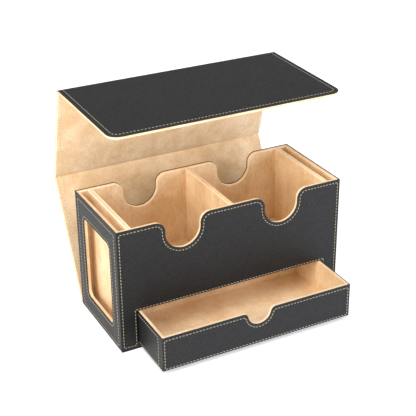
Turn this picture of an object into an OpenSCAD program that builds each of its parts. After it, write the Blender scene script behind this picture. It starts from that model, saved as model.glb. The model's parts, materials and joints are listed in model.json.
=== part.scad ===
// Card deck box: a leather covered board box with two deck compartments, a
// display slot with a window at each end, a drawer below and a wrap-over cover.
// Origin: middle of the footprint on the table. +X right, +Y back, +Z up.

/* [Box] */
// Outside width of the box
body_w = 240; // [200:1:300]
// Outside depth of the box, front face to back face
body_d = 101; // [90:1:130]
// Outside height of the box walls
body_h = 128; // [118:1:160]

/* [Layers] */
// Thickness of the outer leather
leather_t = 0.9; // [0.6:0.1:1.4]
// Thickness of the soft lining
lining_t = 0.8; // [0.5:0.1:1.2]
// Thickness of the wall boards
wall_board = 2.5; // [1.5:0.1:4]
// Thickness of the base board
base_board = 3; // [2:0.1:5]
// Thickness of the board under the deck compartments
floor_board = 3.4; // [2:0.1:5]
// Thickness of the boards between compartments and display slots
partition_board = 3.6; // [2:0.1:5]
// Thickness of the board between the two deck compartments
divider_board = 3.4; // [2:0.1:5]
// Width of the seam where two linings meet along a partition's top edge
seam_gap = 0.5; // [0.2:0.1:1]

/* [Display slots] */
// Clear width of the display slot at each end
slot_w = 7.6; // [5:0.1:12]
// Width of the window in each end wall
window_w = 64; // [40:1:70]
// Height of the window in each end wall
window_h = 87; // [60:1:95]
// Corner radius of the window
window_r = 7; // [3:0.5:15]

/* [Thumb notches] */
// Width of the notches in the front and back walls
notch_w = 37.2; // [28:0.2:44]
// Depth of the notches below the rim
notch_depth = 31; // [22:0.5:40]
// Radius that leads from the rim into a notch
notch_fillet = 10; // [4:0.5:11]

/* [Drawer] */
// Outside height of the drawer
drawer_h = 35.8; // [28:0.2:40]
// Thickness of the drawer's boards
drawer_board = 1.8; // [1.2:0.1:3]
// Gap between drawer and bay, each side
drawer_side_gap = 1.3; // [0.6:0.1:2]
// Gap above the drawer
drawer_top_gap = 0.9; // [0.5:0.1:2]
// Gap under the drawer
drawer_under_gap = 0.4; // [0.2:0.1:1]
// Gap behind the closed drawer
drawer_back_gap = 1; // [0.5:0.1:3]
// How far the drawer stands open at rest
drawer_out = 52.5; // [0:0.5:80]
// Width of the thumb notch in the drawer front
drawer_notch_w = 25.2; // [18:0.2:30]
// Depth of the thumb notch in the drawer front
drawer_notch_depth = 14.4; // [10:0.2:18]
// Radius that leads from the drawer's rim into its notch
drawer_notch_fillet = 5.4; // [2:0.2:8]

/* [Cover] */
// Thickness of the boards in the cover
cover_board = 1.5; // [1:0.1:3]
// How much narrower than the box the cover is, each side
cover_inset = 0.5; // [0:0.1:2]
// Gap between the closed cover and the box
cover_gap = 0.5; // [0.3:0.1:1.5]
// Height of the closed flap's free edge above the table
flap_lift = 1.5; // [0.5:0.5:10]
// Radius of the flap's free corners
flap_r = 11; // [4:0.5:20]
// Lean of the back panel away from upright, at rest
panel_lean = 26; // [0:0.5:40]
// Bend between back panel and top panel, at rest
rear_bend = 42; // [0:0.5:90]
// Bend between top panel and flap, at rest
front_bend = 75; // [0:0.5:90]

/* [Magnets] */
// Diameter of the closing magnets
magnet_d = 12; // [8:0.5:16]
// Thickness of the closing magnets
magnet_t = 1.2; // [0.8:0.1:1.4]
// Distance between the two magnets of a pair
magnet_span = 140; // [60:1:160]
// Height of the magnets above the table when the cover is shut
magnet_z = 64; // [58:1:80]

/* [Hidden] */
$fn = 64;

// clearance of a magnet in its pocket, and of one panel's leather from the next at a crease
magnet_gap = 0.1;
crease_gap = 0.1;
// room left between two boards at a crease when it is bent square
crease_room = 0.4;
// how far cutting shapes run past the faces they cut
past = 1;

black = "#2f2f31";
tan = "#dcb98a";
grey_board = "#9c8a70";
steel = "#c4c6c8";

hw = body_w / 2;
hd = body_d / 2;
wall_t = leather_t + wall_board + lining_t;
skin_board = leather_t + wall_board;
base_top = leather_t + base_board + lining_t;
in_y = hd - wall_t;
partition_t = partition_board + 2 * lining_t;
bay_half = hw - wall_t - slot_w - partition_t;
divider_t = divider_board + 2 * lining_t;

drawer_z0 = base_top + drawer_under_gap;
drawer_z1 = drawer_z0 + drawer_h;
drawer_half = bay_half - drawer_side_gap;
drawer_back = in_y - drawer_back_gap;
drawer_wall = leather_t + drawer_board + lining_t;
bay_top = drawer_z1 + drawer_top_gap;
floor_top = bay_top + floor_board + 2 * lining_t;

// a notch is centred on each deck compartment
notch_r = notch_w / 2;
notch_x = (bay_half + divider_t / 2) / 2;
notch_zc = body_h - notch_depth + notch_r;
drawer_notch_r = drawer_notch_w / 2;
drawer_notch_zc = drawer_z1 - drawer_notch_depth + drawer_notch_r;
window_z = body_h / 2;

// creases turn about lines in the middle of the leather, the cover's outermost layer
cover_t = leather_t + cover_board + lining_t;
cover_half = hw - cover_inset;
axis_off = cover_gap + cover_t - leather_t / 2;
base_axis_y = hd + axis_off;
base_axis_z = leather_t / 2;
top_axis_z = body_h + axis_off;
back_len = top_axis_z - base_axis_z;
top_len = 2 * base_axis_y;
flap_len = top_axis_z - flap_lift;
crease_set = cover_t - leather_t / 2 + crease_room;

// a flat sheet of thickness t standing across Y, its near face at y
module sheet_xz(y, t) {
    translate([0, y + t, 0]) rotate([90, 0, 0]) linear_extrude(t) children();
}

// a flat sheet of thickness t standing across X, its left face at x
module sheet_yz(x, t) {
    translate([x, 0, 0]) rotate([90, 0, 90]) linear_extrude(t) children();
}

// a box given by its lowest and highest corners
module block(low, high) {
    translate(low) cube(high - low);
}

// a rectangle from its lowest and highest corners
module pane(low, high) {
    translate(low) square(high - low);
}

module round_pane(w, h, r) {
    pane([-w / 2, -h / 2 + r], [w / 2, h / 2 - r]);
    pane([-w / 2 + r, -h / 2], [w / 2 - r, h / 2]);
    for (x = [-1, 1], y = [-1, 1]) translate([x * (w / 2 - r), y * (h / 2 - r)]) circle(r);
}

// outline of a U notch: a circle of radius r centred at height zc, led into by
// two fillets of radius f from a rim at height top
module notch(r, zc, f, top) {
    drop = max(0, zc - (top - f));
    fx = sqrt((r + f) * (r + f) - drop * drop);
    tx = r * fx / (r + f);
    tz = drop > 0 ? zc - r * drop / (r + f) : top - f;
    translate([0, zc]) circle(r);
    if (drop == 0) pane([-r, zc], [r, tz + 0.001]);
    difference() {
        polygon([[-fx, top], [-fx, top - f], [-tx, tz], [tx, tz], [fx, top - f], [fx, top]]);
        for (x = [-1, 1]) translate([x * fx, top - f]) circle(f);
    }
    pane([-fx, top - 0.001], [fx, top + past]);
}

// the openings of the front and back walls, grown all round by g
module rim_notches(g) {
    for (x = [-1, 1]) translate([x * notch_x, 0])
        notch(notch_r + g, notch_zc, notch_fillet - g, body_h - g);
}

module drawer_opening(g) {
    pane([-bay_half - g, base_top - g], [bay_half + g, bay_top + g]);
}

module long_wall(low, high, g, open) {
    difference() {
        pane(low, high);
        rim_notches(g);
        if (open) drawer_opening(g);
    }
}

module long_wall_board_2d(open) {
    long_wall([-hw + leather_t, leather_t], [hw - leather_t, body_h - lining_t], lining_t, open);
}

module long_wall_leather(open) {
    color(black) sheet_xz(-hd, leather_t)
        long_wall([-hw, leather_t], [hw, body_h], 0, open);
}

// lining: the cut edges and rim wrapped over the board, and the sheet inside
module long_wall_lining(open) {
    color(tan) {
        sheet_xz(-hd + leather_t, wall_board) difference() {
            long_wall([-hw + leather_t, leather_t], [hw - leather_t, body_h], 0, open);
            long_wall_board_2d(open);
        }
        sheet_xz(-hd + skin_board, lining_t)
            long_wall([-hw + skin_board, base_top], [hw - skin_board, body_h], 0, open);
    }
}

module magnet_discs(r, t) {
    for (x = [-1, 1]) translate([x * magnet_span / 2, 0, 0]) cylinder(h = t, r = r);
}

module wall_magnet_places(r, t) {
    translate([0, -hd + leather_t + t, magnet_z]) rotate([90, 0, 0]) magnet_discs(r, t);
}

module front_wall_board() {
    color(grey_board) difference() {
        sheet_xz(-hd + leather_t, wall_board) long_wall_board_2d(true);
        translate([0, -past, 0])
            wall_magnet_places(magnet_d / 2 + magnet_gap, magnet_t + magnet_gap + past);
    }
}

module front_wall_magnets() {
    color(steel) wall_magnet_places(magnet_d / 2, magnet_t);
}

module front_wall_leather() { long_wall_leather(true); }

module front_wall_lining() { long_wall_lining(true); }

module back_wall_board() {
    color(grey_board) mirror([0, 1, 0]) sheet_xz(-hd + leather_t, wall_board)
        long_wall_board_2d(false);
}

module back_wall_leather() { mirror([0, 1, 0]) long_wall_leather(false); }

module back_wall_lining() { mirror([0, 1, 0]) long_wall_lining(false); }

// end walls, drawn on the right and mirrored for the left
module end_wall(low, high, g) {
    difference() {
        pane(low, high);
        translate([0, window_z])
            round_pane(window_w + 2 * g, window_h + 2 * g, window_r + g);
    }
}

module end_board_2d() {
    end_wall([-hd + skin_board, leather_t], [hd - skin_board, body_h - lining_t], lining_t);
}

module end_board() {
    color(grey_board) sheet_yz(hw - skin_board, wall_board) end_board_2d();
}

module end_leather() {
    color(black) sheet_yz(hw - leather_t, leather_t)
        end_wall([-hd + leather_t, leather_t], [hd - leather_t, body_h], 0);
}

module end_lining() {
    color(tan) {
        sheet_yz(hw - skin_board, wall_board) difference() {
            end_wall([-hd + skin_board, leather_t], [hd - skin_board, body_h], 0);
            end_board_2d();
        }
        sheet_yz(hw - wall_t, lining_t) end_wall([-in_y, base_top], [in_y, body_h], 0);
    }
}

module left() { mirror([1, 0, 0]) children(); }

// base: leather under the whole footprint, reaching back to the cover's lower crease
module base_leather() {
    color(black) {
        block([-hw, -hd, 0], [hw, hd, leather_t]);
        block([-cover_half, hd, 0], [cover_half, base_axis_y, leather_t]);
        translate([-cover_half, base_axis_y, base_axis_z]) rotate([0, 90, 0])
            cylinder(h = 2 * cover_half, r = leather_t / 2);
    }
}

module base_board() {
    color(grey_board) block([-hw + skin_board, -hd + skin_board, leather_t],
        [hw - skin_board, hd - skin_board, leather_t + base_board]);
}

module base_lining() {
    color(tan) block([-hw + skin_board, -hd + skin_board, leather_t + base_board],
        [hw - skin_board, hd - skin_board, base_top]);
}

// partition on the right: board, and two linings that meet along its top edge
module partition_board() {
    x = bay_half + lining_t;
    color(grey_board)
        block([x, -in_y, base_top], [x + partition_board, in_y, body_h - lining_t]);
}

// one lining of a partition; it covers the face at x and half of the top edge
module partition_lining(x, face) {
    half_top = partition_t / 2 - seam_gap / 2;
    color(tan) mirror([face, 0, 0]) translate([face ? -x : x, -in_y, 0]) {
        block([0, 0, base_top], [lining_t, 2 * in_y, body_h]);
        block([0, 0, body_h - lining_t], [half_top, 2 * in_y, body_h]);
    }
}

module partition_deck_lining() { partition_lining(bay_half, 0); }

module partition_slot_lining() { partition_lining(bay_half + partition_t, 1); }

module divider_board() {
    color(grey_board) block([-divider_board / 2, -in_y, floor_top],
        [divider_board / 2, in_y, body_h - lining_t]);
}

module divider_lining() {
    color(tan) difference() {
        block([-divider_t / 2, -in_y, floor_top], [divider_t / 2, in_y, body_h]);
        block([-divider_board / 2, -in_y - past, floor_top - past],
            [divider_board / 2, in_y + past, body_h - lining_t]);
    }
}

// floor of the deck compartments, which is also the ceiling of the drawer bay
module bay_layer(z, t) {
    block([-bay_half, -in_y, z], [bay_half, in_y, z + t]);
}

module drawer_bay_ceiling_lining() { color(tan) bay_layer(bay_top, lining_t); }

module deck_floor_board() { color(grey_board) bay_layer(bay_top + lining_t, floor_board); }

module deck_floor_lining() { color(tan) bay_layer(floor_top - lining_t, lining_t); }

// drawer, drawn shut and slid out by drawer_out
module drawer_at_rest() { translate([0, -drawer_out, 0]) children(); }

// block of the drawer set in from its sides, front and back by i, from z0 to z1
module drawer_block(i, z0, z1) {
    block([-drawer_half + i, -hd + i, z0], [drawer_half - i, drawer_back - i, z1]);
}

module drawer_front_notch(g, y0, y1) {
    sheet_xz(y0, y1 - y0) notch(drawer_notch_r + g, drawer_notch_zc,
        drawer_notch_fillet - g, drawer_z1 - g);
}

module drawer_leather() {
    color(black) drawer_at_rest() difference() {
        drawer_block(0, drawer_z0, drawer_z1);
        drawer_block(leather_t, drawer_z0 + leather_t, drawer_z1 + past);
        drawer_front_notch(0, -hd - past, -hd + leather_t + past);
    }
}

// the ring of boards in the drawer's walls, closed at the bottom
drawer_in = leather_t + drawer_board;
drawer_bz = drawer_z0 + leather_t;

module drawer_front_board() {
    color(grey_board) drawer_at_rest() difference() {
        block([-drawer_half + leather_t, -hd + leather_t, drawer_bz],
            [drawer_half - leather_t, -hd + drawer_in, drawer_z1 - lining_t]);
        drawer_front_notch(lining_t, -hd, -hd + drawer_in + past);
    }
}

module drawer_back_board() {
    color(grey_board) drawer_at_rest()
        block([-drawer_half + leather_t, drawer_back - drawer_in, drawer_bz],
            [drawer_half - leather_t, drawer_back - leather_t, drawer_z1 - lining_t]);
}

module drawer_side_board() {
    color(grey_board) drawer_at_rest()
        block([drawer_half - drawer_in, -hd + drawer_in, drawer_bz],
            [drawer_half - leather_t, drawer_back - drawer_in, drawer_z1 - lining_t]);
}

module drawer_bottom_board() {
    color(grey_board) drawer_at_rest()
        drawer_block(drawer_in, drawer_bz, drawer_bz + drawer_board);
}

module drawer_floor_lining() {
    color(tan) drawer_at_rest() drawer_block(drawer_in, drawer_bz + drawer_board,
        drawer_bz + drawer_board + lining_t);
}

// lining of the drawer's walls: inner faces, the rim and the edge of the notch
module drawer_side_lining() {
    floor_z = drawer_bz + drawer_board + lining_t;
    color(tan) drawer_at_rest() difference() {
        union() {
            drawer_block(drawer_in, floor_z, drawer_z1);
            drawer_block(leather_t, drawer_z1 - lining_t, drawer_z1);
            intersection() {
                drawer_front_notch(lining_t, -hd + leather_t, -hd + drawer_in);
                drawer_block(leather_t, drawer_bz, drawer_z1);
            }
        }
        drawer_block(drawer_wall, floor_z - past, drawer_z1 + past);
        drawer_front_notch(0, -hd, -hd + drawer_wall + past);
    }
}

// cover panels, each drawn upright from its lower crease with its outer face to +Y,
// then carried to its place at rest
module on_back_panel() {
    translate([0, base_axis_y, base_axis_z]) rotate([-panel_lean, 0, 0]) children();
}

module on_top_panel() {
    on_back_panel() translate([0, 0, back_len]) rotate([rear_bend, 0, 0]) children();
}

module on_flap() {
    on_top_panel() translate([0, 0, top_len]) rotate([front_bend, 0, 0]) children();
}

// leather between two creases, ending in the round fold of the upper one
module panel_leather(len) {
    color(black) {
        block([-cover_half, -leather_t / 2, leather_t / 2 + crease_gap],
            [cover_half, leather_t / 2, len]);
        translate([-cover_half, 0, len]) rotate([0, 90, 0])
            cylinder(h = 2 * cover_half, r = leather_t / 2);
    }
}

// outline of a panel from crease_set to top, with free corners of radius r,
// drawn i inside the cover's edge
module panel_outline(top, r, i) {
    w = cover_half - i;
    pane([-w, crease_set], [w, top - r]);
    if (r > 0) {
        pane([-w + r, crease_set], [w - r, top]);
        for (x = [-1, 1]) translate([x * (w - r), top - r]) circle(r);
    }
}

module panel_board(top, r) {
    color(grey_board) sheet_xz(-leather_t / 2 - cover_board, cover_board)
        panel_outline(top, r, lining_t);
}

// lining of a panel: the sheet inside, and the free edges wrapped round the board
module panel_lining(top, board_top, r) {
    color(tan) {
        sheet_xz(-leather_t / 2 - cover_board, cover_board) difference() {
            panel_outline(top, r, 0);
            panel_outline(board_top, max(0, r - lining_t), lining_t);
        }
        sheet_xz(-leather_t / 2 - cover_board - lining_t, lining_t)
            panel_outline(top, r, 0);
    }
}

module back_panel_board() { on_back_panel() panel_board(back_len - crease_set, 0); }

module back_panel_leather() { on_back_panel() panel_leather(back_len); }

module back_panel_lining() {
    on_back_panel() panel_lining(back_len - crease_set, back_len - crease_set, 0);
}

module top_panel_board() { on_top_panel() panel_board(top_len - crease_set, 0); }

module top_panel_leather() { on_top_panel() panel_leather(top_len); }

module top_panel_lining() {
    on_top_panel() panel_lining(top_len - crease_set, top_len - crease_set, 0);
}

// discs that meet the wall's magnets when the flap hangs shut
module flap_magnet_places(r, t) {
    translate([0, -leather_t / 2, top_axis_z - magnet_z]) rotate([90, 0, 0]) magnet_discs(r, t);
}

module flap_board() {
    on_flap() difference() {
        panel_board(flap_len - lining_t, flap_r - lining_t);
        translate([0, past, 0])
            flap_magnet_places(magnet_d / 2 + magnet_gap, magnet_t + magnet_gap + past);
    }
}

module flap_leather() {
    color(black) on_flap() {
        sheet_xz(-leather_t / 2, leather_t) panel_outline(flap_len, flap_r, 0);
        block([-cover_half, -leather_t / 2, leather_t / 2 + crease_gap],
            [cover_half, leather_t / 2, crease_set]);
    }
}

module flap_lining() {
    on_flap() panel_lining(flap_len, flap_len - lining_t, flap_r);
}

module flap_magnets() {
    color(steel) on_flap() flap_magnet_places(magnet_d / 2, magnet_t);
}

front_wall_board();
front_wall_leather();
front_wall_lining();
front_wall_magnets();
back_wall_board();
back_wall_leather();
back_wall_lining();
left() end_board();  // left_end_board
left() end_leather();  // left_end_leather
left() end_lining();  // left_end_lining
end_board();  // right_end_board
end_leather();  // right_end_leather
end_lining();  // right_end_lining
base_board();
base_leather();
base_lining();
left() partition_board();  // left_partition_board
left() partition_slot_lining();  // left_partition_slot_lining
left() partition_deck_lining();  // left_partition_deck_lining
partition_board();  // right_partition_board
partition_slot_lining();  // right_partition_slot_lining
partition_deck_lining();  // right_partition_deck_lining
divider_board();
divider_lining();
deck_floor_board();
deck_floor_lining();
drawer_bay_ceiling_lining();
drawer_front_board();
drawer_back_board();
left() drawer_side_board();  // drawer_left_board
drawer_side_board();  // drawer_right_board
drawer_bottom_board();
drawer_leather();
drawer_side_lining();
drawer_floor_lining();
back_panel_board();
back_panel_leather();
back_panel_lining();
top_panel_board();
top_panel_leather();
top_panel_lining();
flap_board();
flap_leather();
flap_lining();
flap_magnets();
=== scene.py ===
import json
import math
import bmesh
import bpy
from mathutils import Matrix, Vector


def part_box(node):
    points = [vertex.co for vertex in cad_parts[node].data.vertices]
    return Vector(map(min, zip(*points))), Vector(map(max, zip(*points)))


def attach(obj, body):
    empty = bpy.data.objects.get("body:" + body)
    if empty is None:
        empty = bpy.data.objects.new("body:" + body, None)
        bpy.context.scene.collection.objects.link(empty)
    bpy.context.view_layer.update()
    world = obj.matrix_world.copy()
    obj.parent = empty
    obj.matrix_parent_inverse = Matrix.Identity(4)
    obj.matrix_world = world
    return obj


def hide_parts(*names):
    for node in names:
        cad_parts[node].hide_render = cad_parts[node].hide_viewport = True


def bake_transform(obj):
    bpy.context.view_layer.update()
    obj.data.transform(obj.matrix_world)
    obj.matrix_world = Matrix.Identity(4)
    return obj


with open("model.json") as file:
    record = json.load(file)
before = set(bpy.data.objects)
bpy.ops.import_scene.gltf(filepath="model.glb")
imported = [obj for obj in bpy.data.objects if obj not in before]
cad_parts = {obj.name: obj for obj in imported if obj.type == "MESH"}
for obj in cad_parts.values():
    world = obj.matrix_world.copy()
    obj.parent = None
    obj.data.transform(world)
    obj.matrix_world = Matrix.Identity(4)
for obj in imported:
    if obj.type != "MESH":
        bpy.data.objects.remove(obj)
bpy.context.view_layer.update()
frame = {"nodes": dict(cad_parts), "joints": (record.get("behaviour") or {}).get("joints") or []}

mm = 0.001
tiny = 0.01 * mm
shortest = 0.2 * mm     # edges under this would fold over when their face is inset
xAxis, yAxis, zAxis = Vector((1, 0, 0)), Vector((0, 1, 0)), Vector((0, 0, 1))


# colours and shader nodes

def linearColour(code):
    channels = [int(code[i:i + 2], 16) / 255 for i in (1, 3, 5)]
    return [c / 12.92 if c <= 0.04045 else ((c + 0.055) / 1.055) ** 2.4 for c in channels] + [1]


def addNode(tree, kind, settings=None, links=None):
    # sockets go by name, or by number where a name comes twice: a mix has its factor at 0 and its
    # two colours at 6 and 7
    made = tree.nodes.new(kind)
    for name, value in (settings or {}).items():
        if isinstance(name, str) and hasattr(made, name):
            setattr(made, name, value)
        else:
            made.inputs[name].default_value = value
    for name, socket in (links or {}).items():
        tree.links.new(socket, made.inputs[name])
    return made


def newMaterial(name, settings):
    material = bpy.data.materials.new(name)
    material.use_nodes = True
    tree = material.node_tree
    tree.nodes.clear()
    shader = addNode(tree, "ShaderNodeBsdfPrincipled", settings)
    addNode(tree, "ShaderNodeOutputMaterial", {}, {"Surface": shader.outputs[0]})
    return material, tree, shader


# embossed PU leather: satin film over pebbles, duller in the valleys between them, with painted shade
# darkening those valleys
leatherLook = dict(
    face="#222121", valleyShade="#121213", dusty="#242323", rubbed="#2c2a29",
    pebble=1.25 * mm,       # real grain is about 0.7 mm; drawn coarser so that it shows
    pebbleDepth=0.085 * mm,
    fine=0.42 * mm, fineDepth=0.02 * mm,
    patch=34 * mm,
    smooth=0.40, dull=0.60,
)


def pebbledLeather(name, coordinates):
    look = leatherLook
    material, tree, shader = newMaterial(name, {"IOR": 1.46, "Specular IOR Level": 0.34})
    place = addNode(tree, "ShaderNodeTexCoord").outputs[coordinates]
    wander = addNode(tree, "ShaderNodeTexNoise",
                     {"Scale": 0.25 / look["pebble"], "Detail": 2.0}, {"Vector": place})
    warped = addNode(tree, "ShaderNodeVectorMath",
                     {"operation": "MULTIPLY_ADD", 1: [1.1 * look["pebble"]] * 3},
                     {0: wander.outputs["Color"], 2: place})
    pebbles = addNode(tree, "ShaderNodeTexVoronoi",
                      {"feature": "DISTANCE_TO_EDGE", "Scale": 1 / look["pebble"]},
                      {"Vector": warped.outputs[0]})
    height = addNode(tree, "ShaderNodeMapRange", {"interpolation_type": "SMOOTHERSTEP", "From Max": 0.26},
                     {"Value": pebbles.outputs["Distance"]})
    fine = addNode(tree, "ShaderNodeTexNoise",
                   {"Scale": 1 / look["fine"], "Detail": 3.0}, {"Vector": place})
    patch = addNode(tree, "ShaderNodeTexNoise",
                    {"Scale": 1 / look["patch"], "Detail": 4.0, "Roughness": 0.6}, {"Vector": place})
    spread = addNode(tree, "ShaderNodeMapRange", {"From Min": 0.3, "From Max": 0.7},
                     {"Value": patch.outputs["Fac"]})
    tone = addNode(tree, "ShaderNodeMix", {"data_type": "RGBA", 6: linearColour(look["face"]),
                   7: linearColour(look["dusty"])}, {0: spread.outputs[0]})
    # painted shade: the valleys between the pebbles are darkened
    grain = addNode(tree, "ShaderNodeMix", {"data_type": "RGBA", 6: linearColour(look["valleyShade"])},
                    {0: height.outputs[0], 7: tone.outputs[2]})
    wearAndHighlight = addNode(tree, "ShaderNodeAttribute", {"attribute_name": "wearAndHighlight"})
    patchyWear = addNode(tree, "ShaderNodeMath", {"operation": "MULTIPLY"},
                         {0: wearAndHighlight.outputs["Fac"], 1: spread.outputs[0]})
    rubbed = addNode(tree, "ShaderNodeMix", {"data_type": "RGBA", 7: linearColour(look["rubbed"])},
                     {0: patchyWear.outputs[0], 6: grain.outputs[2]})
    # painted shade: the leather turns dark along the bottom of each stitch channel
    seam = addNode(tree, "ShaderNodeAttribute", {"attribute_name": "seam"})
    colour = addNode(tree, "ShaderNodeMix", {"data_type": "RGBA", 7: linearColour(look["valleyShade"])},
                     {0: seam.outputs["Fac"], 6: rubbed.outputs[2]})
    tree.links.new(colour.outputs[2], shader.inputs["Base Color"])
    gloss = addNode(tree, "ShaderNodeMath", {"operation": "MULTIPLY_ADD", 1: 0.18},
                    {0: spread.outputs[0], 2: height.outputs[0]})
    rough = addNode(tree, "ShaderNodeMapRange",
                    {"From Max": 1.18, "To Min": look["dull"], "To Max": look["smooth"]},
                    {"Value": gloss.outputs[0]})
    tree.links.new(rough.outputs[0], shader.inputs["Roughness"])
    pores = addNode(tree, "ShaderNodeBump", {"Strength": 0.5, "Distance": look["fineDepth"]},
                    {"Height": fine.outputs["Fac"]})
    bump = addNode(tree, "ShaderNodeBump", {"Strength": 0.8, "Distance": look["pebbleDepth"]},
                   {"Height": height.outputs[0], "Normal": pores.outputs[0]})
    tree.links.new(bump.outputs[0], shader.inputs["Normal"])
    return material


# microfibre suede: short nap brushed one way and the other, so it is lighter and darker in soft patches
suedeLook = dict(
    brushed="#f8dfba", against="#eac89b", fleck="#c08f5e", edgeHighlight="#fdeacb",
    fibre=1.5 * mm,       # the real nap is about 0.2 mm; drawn coarser so that it shows
    fibreDepth=0.1 * mm,
    stroke=7 * mm, patch=24 * mm, roughness=0.93, sheen="#fff0d8",
)


def brushedSuede(name, coordinates):
    look = suedeLook
    material, tree, shader = newMaterial(name, {
        "Roughness": look["roughness"], "IOR": 1.45, "Specular IOR Level": 0.2,
        "Sheen Weight": 0.18, "Sheen Roughness": 0.4, "Sheen Tint": linearColour(look["sheen"])})
    place = addNode(tree, "ShaderNodeTexCoord").outputs[coordinates]
    patch = addNode(tree, "ShaderNodeTexNoise",
                    {"Scale": 1 / look["patch"], "Detail": 3.0, "Distortion": 0.4}, {"Vector": place})
    drawn = addNode(tree, "ShaderNodeMapping",
                    {"Scale": (1.0, 1.0, 0.35), "Rotation": (0.1, 0.2, 0.3)}, {"Vector": place})
    stroke = addNode(tree, "ShaderNodeTexNoise",
                     {"Scale": 1 / look["stroke"], "Detail": 4.0, "Roughness": 0.65},
                     {"Vector": drawn.outputs[0]})
    fibre = addNode(tree, "ShaderNodeTexNoise",
                    {"Scale": 1 / look["fibre"], "Detail": 3.0, "Roughness": 0.7},
                    {"Vector": drawn.outputs[0]})
    lay = addNode(tree, "ShaderNodeMath", {"operation": "MULTIPLY_ADD", 1: 0.55},
                  {0: stroke.outputs["Fac"], 2: patch.outputs["Fac"]})
    leaning = addNode(tree, "ShaderNodeMapRange", {"From Min": 0.63, "From Max": 0.93},
                      {"Value": lay.outputs[0]})
    nap = addNode(tree, "ShaderNodeMix", {"data_type": "RGBA", 6: linearColour(look["against"]),
                  7: linearColour(look["brushed"])}, {0: leaning.outputs[0]})
    speck = addNode(tree, "ShaderNodeMapRange", {"From Min": 0.46, "From Max": 0.78, "To Max": 0.45},
                    {"Value": fibre.outputs["Fac"]})
    flecked = addNode(tree, "ShaderNodeMix", {"data_type": "RGBA", 7: linearColour(look["fleck"])},
                      {0: speck.outputs[0], 6: nap.outputs[2]})
    wearAndHighlight = addNode(tree, "ShaderNodeAttribute", {"attribute_name": "wearAndHighlight"})    # painted highlight along an edge, where the nap is pulled tight over it
    colour = addNode(tree, "ShaderNodeMix", {"data_type": "RGBA", 7: linearColour(look["edgeHighlight"])},
                     {0: wearAndHighlight.outputs["Fac"], 6: flecked.outputs[2]})
    tree.links.new(colour.outputs[2], shader.inputs["Base Color"])
    bump = addNode(tree, "ShaderNodeBump", {"Strength": 0.6, "Distance": look["fibreDepth"]},
                   {"Height": fibre.outputs["Fac"]})
    tree.links.new(bump.outputs[0], shader.inputs["Normal"])
    return material


# waxed polyester thread, two plies twisted: pale ridges, with painted shade as dark lines slanting across
# each stitch between them
threadLook = dict(ply="#c6bb98", between="#857a5f", turns=5.0, plyDepth=0.1 * mm)


def waxedThread():
    look = threadLook
    material, tree, shader = newMaterial("waxedThread",
                                         {"Roughness": 0.55, "IOR": 1.5, "Sheen Weight": 0.15})
    place = addNode(tree, "ShaderNodeUVMap", {"uv_map": "twist"}).outputs[0]
    plies = addNode(tree, "ShaderNodeTexWave",
                    {"bands_direction": "DIAGONAL", "Scale": look["turns"] / math.tau, "Distortion": 0.6},
                    {"Vector": place})
    # painted shade in the grooves between the plies
    colour = addNode(tree, "ShaderNodeMix", {"data_type": "RGBA", 6: linearColour(look["between"]),
                     7: linearColour(look["ply"])}, {0: plies.outputs["Fac"]})
    tree.links.new(colour.outputs[2], shader.inputs["Base Color"])
    bump = addNode(tree, "ShaderNodeBump", {"Strength": 0.5, "Distance": look["plyDepth"]},
                   {"Height": plies.outputs["Fac"]})
    tree.links.new(bump.outputs[0], shader.inputs["Normal"])
    return material


# pressed greyboard: recycled pulp, flat and matt with dark and light flecks
boardLook = dict(dark="#6f6454", light="#a99a82", pulp=1.5 * mm, pulpDepth=0.1 * mm)


def pressedGreyboard():
    look = boardLook
    material, tree, shader = newMaterial("pressedGreyboard", {"Roughness": 0.9, "Specular IOR Level": 0.3})
    place = addNode(tree, "ShaderNodeTexCoord").outputs["Object"]
    pulp = addNode(tree, "ShaderNodeTexNoise",
                   {"Scale": 1 / look["pulp"], "Detail": 6.0, "Roughness": 0.75}, {"Vector": place})
    colour = addNode(tree, "ShaderNodeMix", {"data_type": "RGBA", 6: linearColour(look["dark"]),
                     7: linearColour(look["light"])}, {0: pulp.outputs["Fac"]})
    tree.links.new(colour.outputs[2], shader.inputs["Base Color"])
    bump = addNode(tree, "ShaderNodeBump", {"Strength": 0.4, "Distance": look["pulpDepth"]},
                   {"Height": pulp.outputs["Fac"]})
    tree.links.new(bump.outputs[0], shader.inputs["Normal"])
    return material


# nickel-plated magnet: bright metal with fine scuffs from tumbling
nickelLook = dict(metal="#c9c5bb", scuff=0.6 * mm, bright=0.18, scuffed=0.38)


def nickelPlate():
    look = nickelLook
    material, tree, shader = newMaterial("nickelPlate",
                                         {"Metallic": 1.0, "Base Color": linearColour(look["metal"])})
    place = addNode(tree, "ShaderNodeTexCoord").outputs["Object"]
    scuffs = addNode(tree, "ShaderNodeTexNoise",
                     {"Scale": 1 / look["scuff"], "Detail": 5.0}, {"Vector": place})
    rough = addNode(tree, "ShaderNodeMapRange", {"To Min": look["bright"], "To Max": look["scuffed"]},
                    {"Value": scuffs.outputs["Fac"]})
    tree.links.new(rough.outputs[0], shader.inputs["Roughness"])
    return material


leatherOnWalls = pebbledLeather("embossedLeather", "Object")
leatherOnCover = pebbledLeather("embossedLeatherCover", "UV")
suedeOnWalls = brushedSuede("brushedMicrosuede", "Object")
suedeOnCover = brushedSuede("brushedMicrosuedeCover", "UV")
thread = waxedThread()
hidden = {"grey_board": pressedGreyboard(), "nickel_magnet": nickelPlate()}
for node in frame["nodes"].values():
    for place in node.material_slots:
        if place.material.name in hidden:
            place.material = hidden[place.material.name]
print("materials made")


# mesh helpers

def cadCopy(nodeName):
    bm = bmesh.new()
    bm.from_mesh(frame["nodes"][nodeName].data)
    bmesh.ops.remove_doubles(bm, verts=bm.verts, dist=shortest)
    bmesh.ops.dissolve_limit(bm, angle_limit=math.radians(0.5), verts=bm.verts, edges=bm.edges)
    return bm


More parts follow.
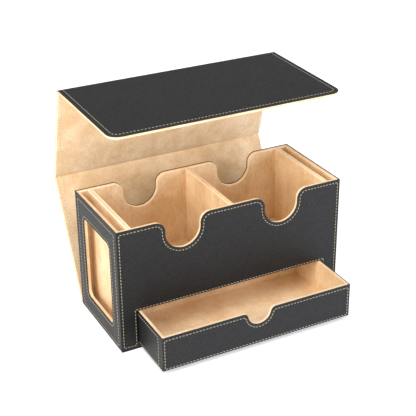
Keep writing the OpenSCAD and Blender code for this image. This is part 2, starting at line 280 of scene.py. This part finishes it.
def roundEdges(bm, radius, segments=3, least=60):
    sharp = [e for e in bm.edges
             if e.is_manifold and e.is_convex and e.calc_face_angle() > math.radians(least)]
    bmesh.ops.bevel(bm, geom=sharp, offset=radius, offset_type="OFFSET", affect="EDGES", segments=segments,
                    profile=0.5, material=-1)


def borderOf(faces):
    # dictionaries keep their order, so that every run gives the operators the same list
    inside = dict.fromkeys(faces)
    edges = dict.fromkeys(e for f in faces for e in f.edges)
    return [e for e in edges if sum(f in inside for f in e.link_faces) == 1]


def loopsOf(edges):
    left, loops = dict.fromkeys(edges), []
    while left:
        edge = next(iter(left))
        del left[edge]
        loop = [edge.verts[0], edge.verts[1]]
        while True:
            onward = next((e for e in loop[-1].link_edges if e in left), None)
            if onward is None:
                break
            del left[onward]
            loop.append(onward.other_vert(loop[-1]))
        loops.append(loop[:-1] if loop[-1] is loop[0] else loop)
    return loops


def refill(bm, faces, border):
    # one fresh flat face, because the long thin ones inside the old border fold over when it shrinks
    normal = faces[0].normal.copy()
    bmesh.ops.delete(bm, geom=faces, context="FACES")
    if len(loopsOf(border)) == 1:
        filled = bmesh.ops.edgeloop_fill(bm, edges=border)["faces"]
    else:
        filled = [f for f in bmesh.ops.triangle_fill(bm, edges=border, use_beauty=True)["geom"]
                  if isinstance(f, bmesh.types.BMFace)]
    for face in filled:
        face.normal_update()
        if face.normal.dot(normal) < 0:
            face.normal_flip()


# presses a narrow channel into the faces, inset from their border, and returns the loops along its bottom
groove = dict(width=1.3 * mm, depth=0.28 * mm)


def sewnChannel(bm, faces, inset, nudge=None):
    half = groove["width"] / 2
    seam = bm.verts.layers.float.get("seam") or bm.verts.layers.float.new("seam")
    rings = []
    for thickness, rise in ((inset - half, 0), (half, -groove["depth"]), (half, groove["depth"])):
        bmesh.ops.inset_region(bm, faces=faces, thickness=thickness, depth=rise, use_even_offset=True,
                               use_boundary=True)
        rings.append(borderOf(faces))
    if nudge:
        for v in dict.fromkeys(v for ring in rings for e in ring for v in e.verts):
            nudge(v)
    # the bottom ring of the channel is marked for the painted shade the leather gets there
    for edge in rings[1]:
        for v in edge.verts:
            v[seam] = 1
    refill(bm, faces, rings[2])
    return [[v.co.copy() for v in loop] for loop in loopsOf(rings[1])]


def markWearAndHighlight(bm, widest=1.5 * mm):
    # the narrow faces along a bend are marked, the broad ones beside them are not; the leather wears
    # lighter there and the suede gets a painted highlight
    wearAndHighlight = bm.loops.layers.float.get("wearAndHighlight") or bm.loops.layers.float.new("wearAndHighlight")
    for face in bm.faces:
        if face.calc_area() > face.calc_perimeter() * widest / 2:
            continue
        for corner in face.loops:
            bend = max(e.calc_face_angle_signed(0) for e in corner.vert.link_edges)
            corner[wearAndHighlight] = min(1, max(0, bend / math.radians(25)))


def addPiece(name, bm, material, slot, replaces=(), body=None):
    for edge in bm.edges:
        edge.smooth = not edge.is_manifold or edge.calc_face_angle() < math.radians(50)
    for face in bm.faces:
        face.smooth = True
    mesh = bpy.data.meshes.new(name)
    bm.to_mesh(mesh)
    bm.free()
    mesh.materials.append(material)
    piece = bpy.data.objects.new(name, mesh)
    bpy.context.scene.collection.objects.link(piece)
    shading = piece.modifiers.new("flatFacesShadeFlat", "WEIGHTED_NORMAL")
    shading.keep_sharp = True
    if replaces:
        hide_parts(*replaces)
    if body:
        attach(piece, body)
    return piece


# stitches

stitch = dict(pitch=3.5 * mm, length=2.5 * mm, width=0.62 * mm, thick=0.5 * mm, sunk=0.02 * mm,
              around=8, along=6, blunt=0.55, corner=30)


def stitchShape():
    bm = bmesh.new()
    bm.loops.layers.uv.new("twist")
    bmesh.ops.create_uvsphere(bm, u_segments=stitch["around"], v_segments=stitch["along"], radius=1,
                              calc_uvs=True)
    for v in bm.verts:      # blunt ends, so that it is a barrel and not an egg
        v.co.z = math.copysign(abs(v.co.z) ** stitch["blunt"], v.co.z)
    size = (stitch["width"] / 2, stitch["thick"] / 2, stitch["length"] / 2)
    bmesh.ops.scale(bm, vec=size, verts=bm.verts)
    layDown = Matrix.Rotation(math.radians(90), 3, "X")     # its length along Y, its top towards Z
    bmesh.ops.rotate(bm, matrix=layDown, verts=bm.verts)
    mesh = bpy.data.meshes.new("stitchShape")
    bm.to_mesh(mesh)
    bm.free()
    return mesh


oneStitch = stitchShape()


def runsOf(loop):
    # a closed row starts afresh at each sharp corner, where the needle goes down
    count = len(loop)
    turn = [(loop[i] - loop[i - 1]).angle(loop[(i + 1) % count] - loop[i], 0) for i in range(count)]
    corners = [i for i in range(count) if turn[i] > math.radians(stitch["corner"])]
    if not corners:
        return [loop + loop[:1]]
    ends = corners[1:] + [corners[0] + count]
    return [[loop[i % count] for i in range(a, b + 1)] for a, b in zip(corners, ends)]


def stitchPlaces(run):
    # where each stitch of a run is, and which way it points
    steps = [(b - a).length for a, b in zip(run, run[1:])]
    total = sum(steps)
    count = max(1, round(total / stitch["pitch"]))
    gap = (total / count - stitch["length"]) / 2

    def at(distance):
        for a, b, step in zip(run, run[1:], steps):
            if distance <= step:
                return a.lerp(b, distance / step)
            distance -= step
        return run[-1]

    for i in range(count):
        a, b = at(total * i / count + gap), at(total * (i + 1) / count - gap)
        yield (a + b) / 2, (b - a).normalized()


def sew(bm, loops, outward, keep=None):
    outward = Vector(outward)
    if not bm.loops.layers.uv:
        bm.loops.layers.uv.new("twist")
    for loop in loops:
        for run in runsOf(loop):
            for middle, along in stitchPlaces(run):
                if keep and not keep(middle):
                    continue
                place = Matrix((along.cross(outward), along, outward)).transposed().to_4x4()
                place.translation = middle + outward * (groove["depth"] - stitch["sunk"])
                start = len(bm.verts)
                bm.from_mesh(oneStitch)
                bm.verts.ensure_lookup_table()
                bmesh.ops.transform(bm, matrix=place, verts=bm.verts[start:])


# box walls

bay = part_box("drawer_bay_ceiling_lining")
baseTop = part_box("base_lining")[1].z
walls = dict(
    edge=0.32 * mm, rim=0.75 * mm, fold=0.3 * mm, proud=0.4 * mm,
    inset=3.2 * mm, opening=1.6 * mm, side=2.7 * mm,    # rows of stitches, from the edge they follow
    endInset=3.2 * mm, endSide=5.4 * mm, endTop=5.2 * mm, endLow=3.6 * mm,
)


def facesTowards(bm, direction):
    direction = Vector(direction)
    far = max(v.co.dot(direction) for v in bm.verts)
    return [f for f in bm.faces if f.normal.dot(direction) > 0.99
            and abs(f.calc_center_median().dot(direction) - far) < 10 * tiny]


def standProud(bm, direction):
    # the turned edge of the leather stands a little out of the rim and the cut-outs, past the lining
    low, high = [Vector([f(v.co[k] for v in bm.verts) for k in range(3)]) for f in (min, max)]
    moves = {}
    for face in bm.faces:
        centre = face.calc_center_median()
        outer = any(abs(centre[k] - low[k]) < tiny for k in range(3))
        outer = outer or any(abs(centre[k] - high[k]) < tiny for k in range(2))
        if abs(face.normal.dot(Vector(direction))) < 0.1 and not outer:
            for v in face.verts:
                moves.setdefault(v, []).append(face.normal.copy())
    for v, normals in moves.items():
        v.co += walls["proud"] * sum(normals, Vector()).normalized()


def reface(bm, direction, reach, top):
    # the front as two clean faces: the wall round the drawer opening, and the low sill under it
    bmesh.ops.delete(bm, geom=facesTowards(bm, direction), context="FACES")
    foot = min(v.co.z for v in bm.verts)
    for side in (-1, 1):
        ground = [e for e in bm.edges if e.is_boundary and all(v.co.z < foot + tiny for v in e.verts)]
        ends = list(dict.fromkeys(v for e in ground for v in e.verts))
        bmesh.ops.bisect_plane(bm, geom=ground + ends, dist=tiny,
                               plane_co=(side * reach, 0, 0), plane_no=(1, 0, 0))
        corners = [v for v in bm.verts if any(e.is_boundary for e in v.link_edges)
                   and abs(v.co.x - side * reach) < tiny and v.co.z < top + tiny]
        bmesh.ops.contextual_create(bm, geom=corners)
    border = [e for e in bm.edges if len(e.link_faces) < 2]
    sill = [e for e in border if all(abs(v.co.x) < reach + tiny and v.co.z < top + tiny for v in e.verts)]
    wall = [e for e in border if e not in sill or e.is_wire]
    for edges in (sill, wall):
        bmesh.ops.edgeloop_fill(bm, edges=edges)
    bmesh.ops.recalc_face_normals(bm, faces=bm.faces)


def wallLeather(name, nodeName, direction, inset, nudge=None, opening=None):
    bm = cadCopy(nodeName)
    if opening:
        reface(bm, direction, *opening)
    faces = facesTowards(bm, direction)
    if opening:
        faces = [f for f in faces if f.calc_center_median().z > opening[1]]
    standProud(bm, direction)
    loops = sewnChannel(bm, faces, inset, nudge)
    roundEdges(bm, walls["edge"])
    markWearAndHighlight(bm)
    addPiece(name, bm, leatherOnWalls, "black_leather", [nodeName], "box")
    threads = bmesh.new()
    sew(threads, loops, direction)
    addPiece(name.replace("Leather", "Stitches"), threads, thread, "khaki_thread", body="box")


def openingRow(v):
    # the row round the drawer opening runs closer to its edge than the row round the wall does
    reach = walls["inset"] + groove["width"]
    move = walls["inset"] - walls["opening"]
    if abs(v.co.x) < bay[1].x + reach and v.co.z < bay[0].z + reach:
        v.co.x -= math.copysign(move, v.co.x)
        if v.co.z > bay[0].z:
            v.co.z -= move
    elif abs(v.co.x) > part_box("front_wall_leather")[1].x - reach:
        v.co.x += math.copysign(walls["inset"] - walls["side"], v.co.x)


def endRow(v):
    low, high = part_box("left_end_leather")
    reach = walls["endInset"] + groove["width"]
    if abs(v.co.y) > high.y - reach:
        v.co.y -= math.copysign(walls["endSide"] - walls["endInset"], v.co.y)
    if v.co.z > high.z - reach:
        v.co.z -= walls["endTop"] - walls["endInset"]
    elif v.co.z < low.z + reach:
        v.co.z += walls["endLow"] - walls["endInset"]


wallLeather("frontWallLeather", "front_wall_leather", (0, -1, 0), walls["inset"], openingRow,
            (bay[1].x, baseTop))
wallLeather("backWallLeather", "back_wall_leather", (0, 1, 0), walls["inset"])
wallLeather("leftEndLeather", "left_end_leather", (-1, 0, 0), walls["endInset"], endRow)
wallLeather("rightEndLeather", "right_end_leather", (1, 0, 0), walls["endInset"], endRow)
print("walls covered and sewn")


# linings

def soften(name, nodeName, body, inward=()):
    # the lining rolls over the rim on the side that is seen, and turns tighter everywhere else
    bm = cadCopy(nodeName)
    for direction in inward:
        rolled = [e for e in borderOf(facesTowards(bm, direction)) if e.is_manifold and e.is_convex]
        bmesh.ops.bevel(bm, geom=rolled, offset=walls["rim"], offset_type="OFFSET", affect="EDGES",
                        segments=4, profile=0.5, material=-1)
    roundEdges(bm, walls["fold"])
    markWearAndHighlight(bm)
    addPiece(name, bm, suedeOnWalls, "tan_microsuede", [nodeName], body)


for name, nodeName, inward in (
    ("frontWallLining", "front_wall_lining", [yAxis]),
    ("backWallLining", "back_wall_lining", [-yAxis]),
    ("leftEndLining", "left_end_lining", [xAxis]),
    ("rightEndLining", "right_end_lining", [-xAxis]),
    ("leftPartitionSlotLining", "left_partition_slot_lining", [-xAxis]),
    ("leftPartitionDeckLining", "left_partition_deck_lining", [xAxis]),
    ("rightPartitionSlotLining", "right_partition_slot_lining", [xAxis]),
    ("rightPartitionDeckLining", "right_partition_deck_lining", [-xAxis]),
    ("dividerLining", "divider_lining", [-xAxis, xAxis]),
    ("deckFloorLining", "deck_floor_lining", []),
    ("bayCeilingLining", "drawer_bay_ceiling_lining", []),
    ("baseLining", "base_lining", []),
):
    soften(name, nodeName, "box", inward)
print("box lined")


# drawer

drawer = dict(edge=0.32 * mm,
              inset=2.6 * mm, top=3.3 * mm, low=1.8 * mm, side=2.4 * mm, behindFront=9.0 * mm)


def drawerRow(direction):
    low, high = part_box("drawer_leather")
    reach = drawer["inset"] + groove["width"]
    across = 1 if direction[0] else 0       # side rows run along Y, front and back rows along X

    def nudge(v):
        if v.co.z < low.z + reach:
            v.co.z += drawer["low"] - drawer["inset"]
        else:
            v.co.z -= drawer["top"] - drawer["inset"]
        if v.co[across] < low[across] + reach:
            v.co[across] += (drawer["behindFront"] if across else drawer["side"]) - drawer["inset"]
        elif v.co[across] > high[across] - reach:
            v.co[across] -= drawer["side"] - drawer["inset"]
    return nudge


def makeDrawer():
    bm = cadCopy("drawer_leather")
    threads = bmesh.new()
    for direction in ((0, -1, 0), (-1, 0, 0), (1, 0, 0), (0, 1, 0)):
        faces = facesTowards(bm, direction)
        sew(threads, sewnChannel(bm, faces, drawer["inset"], drawerRow(direction)), direction)
    roundEdges(bm, drawer["edge"])
    markWearAndHighlight(bm)
    addPiece("drawerLeather", bm, leatherOnWalls, "black_leather", ["drawer_leather"], "drawer")
    addPiece("drawerStitches", threads, thread, "khaki_thread", body="drawer")
    soften("drawerSideLining", "drawer_side_lining", "drawer")
    soften("drawerFloorLining", "drawer_floor_lining", "drawer")


makeDrawer()
print("drawer covered, lined and sewn")


# cover: drawn flat, X across and Y along it from the front edge of the base, then folded

hinges = {j["name"]: Vector(j["pos_m"]) for j in frame["joints"] if j["type"] == "hinge"}
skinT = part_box("base_leather")[1].z
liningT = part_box("deck_floor_lining")[1].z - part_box("deck_floor_lining")[0].z


def flapTip():
    crease = hinges["front_crease"]
    away = [Vector((0, v.co.y, v.co.z)) - Vector((0, crease.y, crease.z))
            for v in frame["nodes"]["flap_leather"].data.vertices]
    far = max(a.length for a in away)
    ends = [a for a in away if a.length > far - tiny]
    return crease + sum(ends, Vector()) / len(ends)


coverPath = [Vector((0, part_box("base_leather")[0].y, skinT / 2)), hinges["cover_base_hinge"],
             hinges["rear_crease"], hinges["front_crease"], flapTip()]
coverPath = [Vector((0, p.y, p.z)) for p in coverPath]
headings = [math.atan2((b - a).z, (b - a).y) % math.tau for a, b in zip(coverPath, coverPath[1:])]
lengths = [(b - a).length for a, b in zip(coverPath, coverPath[1:])]
creasesAt = [sum(lengths[:i + 1]) for i in range(3)]
coverEnd = sum(lengths)
cover = dict(
    half=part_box("back_panel_leather")[1].x,
    corner=11 * mm, edge=0.3 * mm, liningEdge=0.6 * mm, inset=4.6 * mm,
    bends=(3.0 * mm, 4.2 * mm, 3.2 * mm),   # half the width of leather that bends at each crease
    rows=10,
    air=0.1 * mm,                           # between the leather and the lining sunk towards it
    pulledIn=1.2,                           # how much deeper the thread sinks there than the lining
    stitchesFrom=creasesAt[0] + 9 * mm, liningFrom=creasesAt[0] - 3 * mm,
)


def ahead(heading):
    return Vector((0, math.cos(heading), math.sin(heading)))


def outside(heading):
    # from the lining towards the leather
    return Vector((0, math.sin(heading), -math.cos(heading)))


def panelReach(nodeName, panel):
    # how far a node reaches along a panel and through its thickness, outer side positive
    along, outward = ahead(headings[panel]), outside(headings[panel])
    points = [v.co - coverPath[panel] for v in frame["nodes"][nodeName].data.vertices]
    return [f(p.dot(d) for p in points) for d in (along, outward) for f in (min, max)]


liningStart, _, liningFace, _ = panelReach("back_panel_lining", 1)
sunkFace = -skinT / 2 - liningT - cover["air"]


def folded(p):
    # a flat point's place on the folded cover; each crease is an arc with its centre on the lining's side
    panel = sum(p.y > at for at in creasesAt)
    for i, at in enumerate(creasesAt):
        bend = cover["bends"][i]
        if abs(p.y - at) < bend:
            turn = headings[i + 1] - headings[i]
            radius = bend / math.tan(turn / 2)
            heading = headings[i] + turn * (p.y - at + bend) / (2 * bend)
            start = coverPath[i + 1] - bend * ahead(headings[i])
            centre = start - radius * outside(headings[i])
            return p.x * xAxis + centre + (radius + p.z) * outside(heading)
    along = p.y - (creasesAt[panel - 1] if panel else 0)
    return p.x * xAxis + coverPath[panel] + along * ahead(headings[panel]) + p.z * outside(headings[panel])


def flatSheet(top, thickness):
    # outline of the whole cover with its two free corners rounded, from top down by thickness
    bm = bmesh.new()
    bmesh.ops.create_grid(bm, x_segments=1, y_segments=1, size=0.5)
    bmesh.ops.scale(bm, vec=(2 * cover["half"], coverEnd, 1), verts=bm.verts)
    bmesh.ops.translate(bm, vec=(0, coverEnd / 2, top), verts=bm.verts)
    corners = [v for v in bm.verts if v.co.y > coverEnd - tiny]
    bmesh.ops.bevel(bm, geom=corners, affect="VERTICES", offset=cover["corner"], segments=10,
                    profile=0.5, material=-1)
    extruded = bmesh.ops.extrude_face_region(bm, geom=bm.faces[:])["geom"]
    moved = [v for v in extruded if isinstance(v, bmesh.types.BMVert)]
    bmesh.ops.translate(bm, vec=(0, 0, -thickness), verts=moved)
    bmesh.ops.recalc_face_normals(bm, faces=bm.faces)
    return bm


def creaseDip(y):
    # how far the lining's face sinks towards the leather near a crease
    away = min(abs(y - at) for at in creasesAt)
    if away > liningStart:
        return 0
    return (sunkFace - liningFace) * (1 + math.cos(math.pi * away / liningStart)) / 2


def creaseRows(bm):
    for at, bend in zip(creasesAt, cover["bends"]):
        for i in range(cover["rows"] + 1):
            row = at + bend * (2 * i / cover["rows"] - 1)
            bmesh.ops.bisect_plane(bm, geom=bm.verts[:] + bm.edges[:] + bm.faces[:],
                                   plane_co=(0, row, 0), plane_no=(0, 1, 0))


def flatMap(bm):
    layer = bm.loops.layers.uv.new("flat")
    for face in bm.faces:
        for corner in face.loops:
            corner[layer].uv = corner.vert.co.xy


def coverLeather():
    bm = flatSheet(skinT / 2, skinT)
    loops = sewnChannel(bm, facesTowards(bm, zAxis), cover["inset"])
    roundEdges(bm, cover["edge"])
    markWearAndHighlight(bm)
    creaseRows(bm)
    return bm, loops


def coverLining():
    # a tray over the boards, which sinks against the leather where it crosses a crease
    bm = flatSheet(-skinT / 2, -liningFace - skinT / 2)
    loops = sewnChannel(bm, facesTowards(bm, -zAxis), cover["inset"])
    leatherSide = facesTowards(bm, zAxis)
    bmesh.ops.delete(bm, geom=leatherSide, context="FACES_ONLY")
    sharp = [e for e in bm.edges if e.is_manifold and e.calc_face_angle() > math.radians(60)]
    bmesh.ops.bevel(bm, geom=sharp, offset=cover["liningEdge"], affect="EDGES", segments=4,
                    profile=0.5, material=-1)
    markWearAndHighlight(bm)
    creaseRows(bm)
    for v in bm.verts:
        share = (sunkFace - v.co.z) / (sunkFace - liningFace)
        v.co.z += creaseDip(v.co.y) * min(1, max(0, share))
    bmesh.ops.solidify(bm, geom=bm.faces[:], thickness=liningT)
    return bm, loops


# each part has one crease in it and is cut off halfway along the panels beside it
middles = [creasesAt[i] + lengths[i + 1] / 2 for i in (0, 1)]
coverParts = (
    dict(name="Base", bodies=("box", "back_panel"), reach=(0, middles[0]),
         leather=("base_leather", "back_panel_leather"), lining=("back_panel_lining",)),
    dict(name="Rear", bodies=("back_panel", "top_panel"), reach=(middles[0], middles[1]),
         leather=("back_panel_leather", "top_panel_leather"),
         lining=("back_panel_lining", "top_panel_lining")),
    dict(name="Flap", bodies=("top_panel", "flap"), reach=(middles[1], coverEnd + 1),
         leather=("top_panel_leather", "flap_leather"), lining=("top_panel_lining", "flap_lining")),
)


def cutOut(bm, low, high):
    part = bm.copy()
    for at, side in ((low, -1), (high, 1)):
        cut = bmesh.ops.bisect_plane(part, geom=part.verts[:] + part.edges[:] + part.faces[:],
                                     plane_co=(0, at, 0), plane_no=(0, side, 0),
                                     clear_outer=True)["geom_cut"]
        edges = [e for e in cut if isinstance(e, bmesh.types.BMEdge)]
        if edges:
            bmesh.ops.holes_fill(part, edges=edges, sides=0)
    return part


def coverStitches(innerLoops, outerLoops, low, high):
    def within(p):
        return max(low, cover["stitchesFrom"]) < p.y < high

    bm = bmesh.new()
    sew(bm, innerLoops, -zAxis, within)
    for v in bm.verts:
        v.co.z += cover["pulledIn"] * creaseDip(v.co.y)
    sew(bm, outerLoops, zAxis, within)
    return bm


def creaseEnds(crease):
    # where the leather starts and stops to bend
    pivot, bend = coverPath[crease + 1], cover["bends"][crease]
    return pivot - bend * ahead(headings[crease]), pivot + bend * ahead(headings[crease + 1])


def makeCover():
    leather, outerLoops = coverLeather()
    lining, innerLoops = coverLining()
    flatMap(leather)
    flatMap(lining)
    for crease, part in enumerate(coverParts):
        low, high = part["reach"]
        threads = coverStitches(innerLoops, outerLoops, low, high)
        partLining = cutOut(lining, max(low, cover["liningFrom"]), high)
        made = (
            ("Leather", cutOut(leather, low, high), leatherOnCover, "black_leather", part["leather"]),
            ("Lining", partLining, suedeOnCover, "tan_microsuede", part["lining"]),
            ("Stitches", threads, thread, "khaki_thread", ()),
        )
        start, end = creaseEnds(crease)
        for kind, bm, material, slot, replaces in made:
            for v in bm.verts:
                v.co = folded(v.co)
            piece = addPiece("cover" + part["name"] + kind, bm, material, slot, replaces)
            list(part["bodies"])
            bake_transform(piece)
            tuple(start)
            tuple(end)


makeCover()
print("cover folded")


# floor, light and camera

studio = dict(sky="#fbfcff", skyStrength=0.52, paper="#fbfcff", glow="#f7faff", glowStrength=0.42,
              paperRadius=6)


# white seamless paper: matt, and lit enough to lose its grain
def seamlessPaper():
    material, _, _ = newMaterial("seamlessPaper", {
        "Base Color": linearColour(studio["paper"]), "Roughness": 0.9,
        "Emission Color": linearColour(studio["glow"]), "Emission Strength": studio["glowStrength"]})
    return material


def stage():
    bm = bmesh.new()
    bmesh.ops.create_circle(bm, cap_ends=True, radius=studio["paperRadius"], segments=64)
    mesh = bpy.data.meshes.new("floor")
    bm.to_mesh(mesh)
    bm.free()
    mesh.materials.append(seamlessPaper())
    floor = bpy.data.objects.new("floor", mesh)
    bpy.context.scene.collection.objects.link(floor)


def softbox(name, place, aim, size, power, colour):
    light = bpy.data.lights.new(name, "AREA")
    light.shape, light.size, light.size_y = "RECTANGLE", size[0], size[1]
    light.energy = power
    light.color = linearColour(colour)[:3]
    lamp = bpy.data.objects.new(name, light)
    lamp.location = place
    lamp.rotation_euler = (Vector(aim) - Vector(place)).to_track_quat("-Z", "Y").to_euler()
    bpy.context.scene.collection.objects.link(lamp)


softboxes = dict(
    leftSoftbox=dict(place=(-1.55, -0.5, 0.75), aim=(0, 0, 0.1), size=(1.0, 1.0), power=18.0,
                     colour="#fff8f0"),
    topSoftbox=dict(place=(-0.5, -0.5, 1.6), aim=(0, 0, 0.05), size=(1.2, 1.0), power=13.0,
                    colour="#ffffff"),
    rightSoftbox=dict(place=(1.1, -1.2, 0.5), aim=(0, 0, 0.1), size=(0.7, 0.9), power=15.5,
                      colour="#eaf1ff"),
)


def lights():
    world = bpy.data.worlds.new("studio")
    world.use_nodes = True
    sky = world.node_tree.nodes["Background"]
    sky.inputs["Color"].default_value = linearColour(studio["sky"])
    sky.inputs["Strength"].default_value = studio["skyStrength"]
    bpy.context.scene.world = world
    for name, settings in softboxes.items():
        softbox(name, **settings)
    bpy.context.scene.view_settings.view_transform = "Standard"


view = dict(lens=91.5, sensor=36, azimuth=-27.3, elevation=26.66, roll=-0.54, away=1.0445,
            aim=(-0.0008, 0, 0.1031))


def camera():
    data = bpy.data.cameras.new("camera")
    data.lens = view["lens"]
    data.sensor_width = view["sensor"]
    eye = bpy.data.objects.new("camera", data)
    azimuth, elevation = math.radians(view["azimuth"]), math.radians(view["elevation"])
    level = math.cos(elevation)
    back = Vector((math.sin(azimuth) * level, -math.cos(azimuth) * level, math.sin(elevation)))
    eye.location = Vector(view["aim"]) + back * view["away"]
    roll = Matrix.Rotation(math.radians(view["roll"]), 4, "Z")
    eye.rotation_euler = ((-back).to_track_quat("-Z", "Y").to_matrix().to_4x4() @ roll).to_euler()
    bpy.context.scene.collection.objects.link(eye)
    bpy.context.scene.camera = eye


stage()
lights()
camera()
print("stage set")
